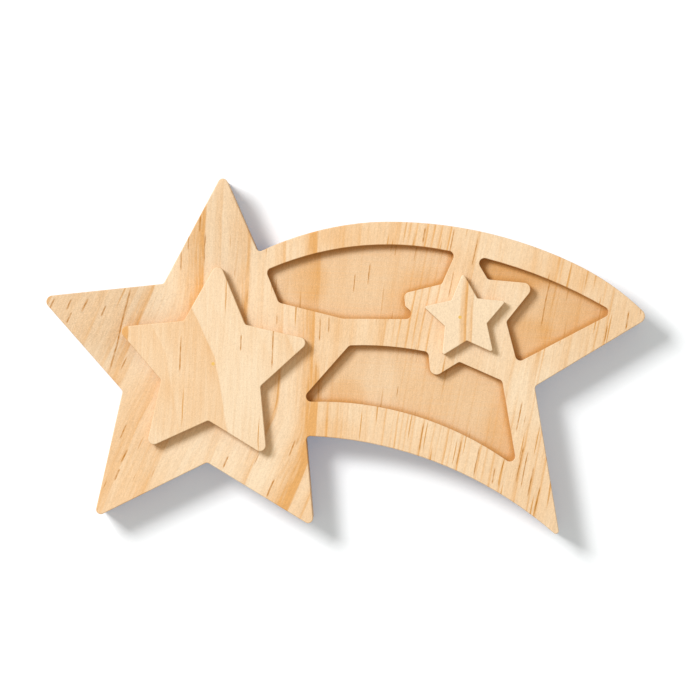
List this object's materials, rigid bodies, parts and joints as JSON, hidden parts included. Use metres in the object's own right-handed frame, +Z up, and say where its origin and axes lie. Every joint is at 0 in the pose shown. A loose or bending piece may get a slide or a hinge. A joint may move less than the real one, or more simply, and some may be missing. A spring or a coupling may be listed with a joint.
{
  "type": "wooden shooting star",
  "caption": "Flat pine shooting star with routed pockets in its tail and raised star pieces pinned to its face; lies flat or stands on its lower tips.",
  "frame": {"origin": "middle of the underside's bounding box, on the surface that the part lies on", "axes": "+X along the line of the three lower tips, from the star towards the tail; +Y towards the star's top tip; +Z up out of the face with the raised stars"},
  "size_m": [0.2496, 0.1424, 0.023],
  "materials": {
    "board_pine": "bare sanded pine, clear vertical grain with orange latewood bands and resin streaks",
    "large_star_pine": "bare sanded pine, tan on the left and pale on the right",
    "small_star_pine": "bare sanded pine, cream with a pair of orange growth lines",
    "pin_steel": "plain steel wire, hidden in the wood",
    "wood_filler": "matt ochre wood filler, flush with the face"
  },
  "bodies": {
    "root": {"board": "board_pine", "large_star": "large_star_pine", "small_star": "small_star_pine", "large_star_pin": "pin_steel", "small_star_pin": "pin_steel", "large_star_filler": "wood_filler", "small_star_filler": "wood_filler"}
  },
  "joints": []
}
